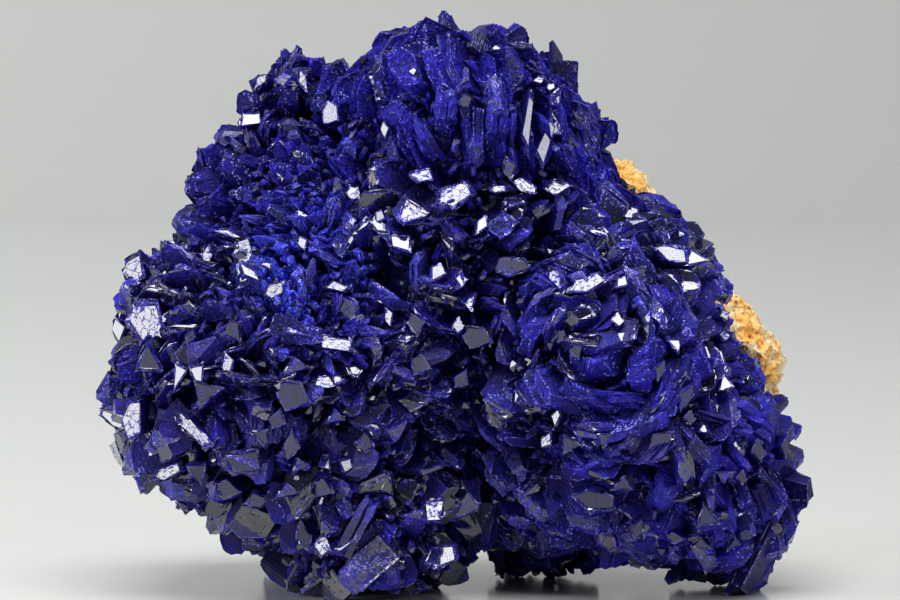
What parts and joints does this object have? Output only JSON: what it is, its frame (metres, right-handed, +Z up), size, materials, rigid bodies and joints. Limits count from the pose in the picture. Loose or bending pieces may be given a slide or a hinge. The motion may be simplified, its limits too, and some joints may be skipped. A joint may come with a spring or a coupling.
{
  "type": "azurite specimen",
  "caption": "Azurite cluster: domed rosettes of dark blue tabular crystals, grown together over a lump of ochre limonite that shows at the right and the back.",
  "frame": {"origin": "middle of the whole object's box in plan, on the surface that it stands on", "axes": "+Z up, +X to the right seen from the front, -Y towards the front, where the rosettes face"},
  "size_m": [0.0705, 0.0416, 0.0575],
  "materials": {
    "azurite": "glassy dark blue crystal faces with frosted, striated sides and brighter ultramarine edges",
    "limonite": "earthy, rough, pitted ochre to orange rock with specks of green"
  },
  "bodies": {
    "root": {"azurite_crystals": "azurite", "limonite_matrix": "limonite"}
  },
  "joints": []
}
